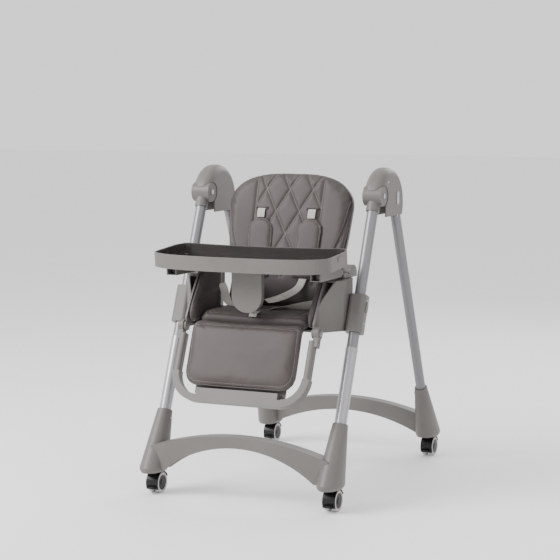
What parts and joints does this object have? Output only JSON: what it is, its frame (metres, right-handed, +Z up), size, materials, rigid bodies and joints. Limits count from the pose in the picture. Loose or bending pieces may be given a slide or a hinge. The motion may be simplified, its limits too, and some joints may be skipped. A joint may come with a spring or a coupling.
{
  "type": "baby high chair",
  "caption": "Folding high chair: A-frame on twin-wheel casters, height-sliding padded seat with harness, reclining back, hinged leg rest and pull-off tray.",
  "frame": {"origin": "on the floor, in the middle of the chair's bounding box", "axes": "+Z up, the child faces -Y, +X is to the right for a viewer who looks along +Y at the chair's front"},
  "size_m": [0.668, 0.986, 1],
  "materials": {
    "plastic_grey": "satin moulded plastic",
    "tube_grey": "powder coated tube",
    "tube_silver": "silver powder coated tube",
    "steel": "zinc plated",
    "button_silver": "satin silver",
    "caster_black": "black moulded",
    "wheel_white": "off-white tread with a dark hub disc",
    "pad_leather": "soft leatherette, quilted on the back",
    "webbing": "woven webbing",
    "insert_clear": "clear glossy plastic"
  },
  "bodies": {
    "front_frame": {"front_base": "plastic_grey", "front_leg_upper_left": "tube_grey", "front_leg_upper_right": "tube_grey", "front_leg_lower_left": "tube_silver", "front_leg_lower_right": "tube_silver", "leg_knuckle_left": "plastic_grey", "leg_knuckle_right": "plastic_grey", "hub_pins": "steel", "front_base_screws": "steel"},
    "rear_frame": {"rear_base": "plastic_grey", "rear_leg_left": "tube_grey", "rear_leg_right": "tube_grey", "hub_housing_left": "plastic_grey", "hub_housing_right": "plastic_grey", "rear_base_screws": "steel"},
    "fold_button_left": {"fold_button_left": "button_silver"},
    "fold_button_right": {"fold_button_right": "button_silver"},
    "caster_fl_fork": {"caster_fl_hood": "caster_black", "caster_fl_axle": "steel"},
    "caster_fl_wheel_a": {"caster_fl_wheel_a": "wheel_white"},
    "caster_fl_wheel_b": {"caster_fl_wheel_b": "wheel_white"},
    "caster_fl_brake": {"caster_fl_brake": "caster_black"},
    "caster_fr_fork": {"caster_fr_hood": "caster_black", "caster_fr_axle": "steel"},
    "caster_fr_wheel_a": {"caster_fr_wheel_a": "wheel_white"},
    "caster_fr_wheel_b": {"caster_fr_wheel_b": "wheel_white"},
    "caster_fr_brake": {"caster_fr_brake": "caster_black"},
    "caster_rl_fork": {"caster_rl_hood": "caster_black", "caster_rl_axle": "steel"},
    "caster_rl_wheel_a": {"caster_rl_wheel_a": "wheel_white"},
    "caster_rl_wheel_b": {"caster_rl_wheel_b": "wheel_white"},
    "caster_rl_brake": {"caster_rl_brake": "caster_black"},
    "caster_rr_fork": {"caster_rr_hood": "caster_black", "caster_rr_axle": "steel"},
    "caster_rr_wheel_a": {"caster_rr_wheel_a": "wheel_white"},
    "caster_rr_wheel_b": {"caster_rr_wheel_b": "wheel_white"},
    "caster_rr_brake": {"caster_rr_brake": "caster_black"},
    "seat": {"seat_shell": "plastic_grey", "slider_left": "plastic_grey", "slider_right": "plastic_grey", "tray_arms": "plastic_grey", "seat_pad": "pad_leather", "lap_straps": "webbing", "harness_buckle": "plastic_grey"},
    "height_button_left": {"height_button_left": "plastic_grey"},
    "height_button_right": {"height_button_right": "plastic_grey"},
    "back": {"back_shell": "plastic_grey", "back_pad": "pad_leather", "shoulder_pads": "pad_leather", "shoulder_straps": "webbing"},
    "recline_handle": {"recline_handle": "plastic_grey"},
    "leg_rest": {"legrest_frame": "plastic_grey", "calf_pad": "pad_leather"},
    "legrest_button_left": {"legrest_button_left": "button_silver"},
    "legrest_button_right": {"legrest_button_right": "button_silver"},
    "tray": {"tray_base": "plastic_grey", "tray_post": "plastic_grey"},
    "tray_insert": {"tray_insert": "insert_clear"},
    "tray_button_left": {"tray_button_left": "plastic_grey"},
    "tray_button_right": {"tray_button_right": "plastic_grey"}
  },
  "joints": [
    {"name": "fold", "type": "hinge", "parent": "front_frame", "child": "rear_frame", "pos_m": [0, -0.084, 0.915], "axis": [-1, 0, 0], "range_deg": [0, 42]},
    {"name": "fold_button_left_press", "type": "slide", "parent": "rear_frame", "child": "fold_button_left", "axis": [1, 0, 0], "range_m": [0, 0.003], "stiffness_N_per_m": 400},
    {"name": "fold_button_right_press", "type": "slide", "parent": "rear_frame", "child": "fold_button_right", "axis": [-1, 0, 0], "range_m": [0, 0.003], "stiffness_N_per_m": 400},
    {"name": "caster_fl_swivel", "type": "hinge", "parent": "front_frame", "child": "caster_fl_fork", "pos_m": [-0.295, -0.432, 0.06], "axis": [0, 0, 1], "continuous": true},
    {"name": "caster_fl_wheel_a_spin", "type": "hinge", "parent": "caster_fl_fork", "child": "caster_fl_wheel_a", "pos_m": [-0.295, -0.414, 0.032], "axis": [1, 0, 0], "continuous": true},
    {"name": "caster_fl_wheel_b_spin", "type": "hinge", "parent": "caster_fl_fork", "child": "caster_fl_wheel_b", "pos_m": [-0.295, -0.414, 0.032], "axis": [1, 0, 0], "continuous": true},
    {"name": "caster_fl_brake_press", "type": "hinge", "parent": "caster_fl_fork", "child": "caster_fl_brake", "pos_m": [-0.295, -0.4525, 0.021], "axis": [1, 0, 0], "range_deg": [0, 16]},
    {"name": "caster_fr_swivel", "type": "hinge", "parent": "front_frame", "child": "caster_fr_fork", "pos_m": [0.295, -0.432, 0.06], "axis": [0, 0, 1], "continuous": true},
    {"name": "caster_fr_wheel_a_spin", "type": "hinge", "parent": "caster_fr_fork", "child": "caster_fr_wheel_a", "pos_m": [0.295, -0.414, 0.032], "axis": [1, 0, 0], "continuous": true},
    {"name": "caster_fr_wheel_b_spin", "type": "hinge", "parent": "caster_fr_fork", "child": "caster_fr_wheel_b", "pos_m": [0.295, -0.414, 0.032], "axis": [1, 0, 0], "continuous": true},
    {"name": "caster_fr_brake_press", "type": "hinge", "parent": "caster_fr_fork", "child": "caster_fr_brake", "pos_m": [0.295, -0.4525, 0.021], "axis": [1, 0, 0], "range_deg": [0, 16]},
    {"name": "caster_rl_swivel", "type": "hinge", "parent": "rear_frame", "child": "caster_rl_fork", "pos_m": [-0.295, 0.432, 0.06], "axis": [0, 0, 1], "continuous": true},
    {"name": "caster_rl_wheel_a_spin", "type": "hinge", "parent": "caster_rl_fork", "child": "caster_rl_wheel_a", "pos_m": [-0.295, 0.45, 0.032], "axis": [1, 0, 0], "continuous": true},
    {"name": "caster_rl_wheel_b_spin", "type": "hinge", "parent": "caster_rl_fork", "child": "caster_rl_wheel_b", "pos_m": [-0.295, 0.45, 0.032], "axis": [1, 0, 0], "continuous": true},
    {"name": "caster_rl_brake_press", "type": "hinge", "parent": "caster_rl_fork", "child": "caster_rl_brake", "pos_m": [-0.295, 0.4115, 0.021], "axis": [1, 0, 0], "range_deg": [0, 16]},
    {"name": "caster_rr_swivel", "type": "hinge", "parent": "rear_frame", "child": "caster_rr_fork", "pos_m": [0.295, 0.432, 0.06], "axis": [0, 0, 1], "continuous": true},
    {"name": "caster_rr_wheel_a_spin", "type": "hinge", "parent": "caster_rr_fork", "child": "caster_rr_wheel_a", "pos_m": [0.295, 0.45, 0.032], "axis": [1, 0, 0], "continuous": true},
    {"name": "caster_rr_wheel_b_spin", "type": "hinge", "parent": "caster_rr_fork", "child": "caster_rr_wheel_b", "pos_m": [0.295, 0.45, 0.032], "axis": [1, 0, 0], "continuous": true},
    {"name": "caster_rr_brake_press", "type": "hinge", "parent": "caster_rr_fork", "child": "caster_rr_brake", "pos_m": [0.295, 0.4115, 0.021], "axis": [1, 0, 0], "range_deg": [0, 16]},
    {"name": "seat_height", "type": "slide", "parent": "front_frame", "child": "seat", "axis": [0, 0.3816, 0.9243], "range_m": [-0.04, 0.13]},
    {"name": "height_button_left_press", "type": "slide", "parent": "seat", "child": "height_button_left", "axis": [1, 0, 0], "range_m": [0, 0.0025], "stiffness_N_per_m": 400},
    {"name": "height_button_right_press", "type": "slide", "parent": "seat", "child": "height_button_right", "axis": [-1, 0, 0], "range_m": [0, 0.0025], "stiffness_N_per_m": 400},
    {"name": "back_recline", "type": "hinge", "parent": "seat", "child": "back", "pos_m": [0, -0.13462, 0.55068], "axis": [-1, 0, 0], "range_deg": [0, 40]},
    {"name": "recline_handle_pull", "type": "slide", "parent": "back", "child": "recline_handle", "axis": [0, 0.2672, 0.9636], "range_m": [0, 0.007], "stiffness_N_per_m": 600},
    {"name": "leg_rest_tilt", "type": "hinge", "parent": "seat", "child": "leg_rest", "pos_m": [0, -0.36662, 0.51968], "axis": [-1, 0, 0], "range_deg": [0, 55]},
    {"name": "legrest_button_left_press", "type": "slide", "parent": "leg_rest", "child": "legrest_button_left", "axis": [1, 0, 0], "range_m": [0, 0.0018], "stiffness_N_per_m": 400},
    {"name": "legrest_button_right_press", "type": "slide", "parent": "leg_rest", "child": "legrest_button_right", "axis": [-1, 0, 0], "range_m": [0, 0.0018], "stiffness_N_per_m": 400},
    {"name": "tray_slide", "type": "slide", "parent": "seat", "child": "tray", "axis": [0, -1, 0], "range_m": [-0.03, 0.24]},
    {"name": "tray_insert_lift", "type": "slide", "parent": "tray", "child": "tray_insert", "axis": [0, -0.0785, 0.9969], "range_m": [0, 0.12]},
    {"name": "tray_button_left_press", "type": "slide", "parent": "tray", "child": "tray_button_left", "axis": [1, 0, 0], "range_m": [0, 0.0015], "stiffness_N_per_m": 400},
    {"name": "tray_button_right_press", "type": "slide", "parent": "tray", "child": "tray_button_right", "axis": [-1, 0, 0], "range_m": [0, 0.0015], "stiffness_N_per_m": 400}
  ]
}
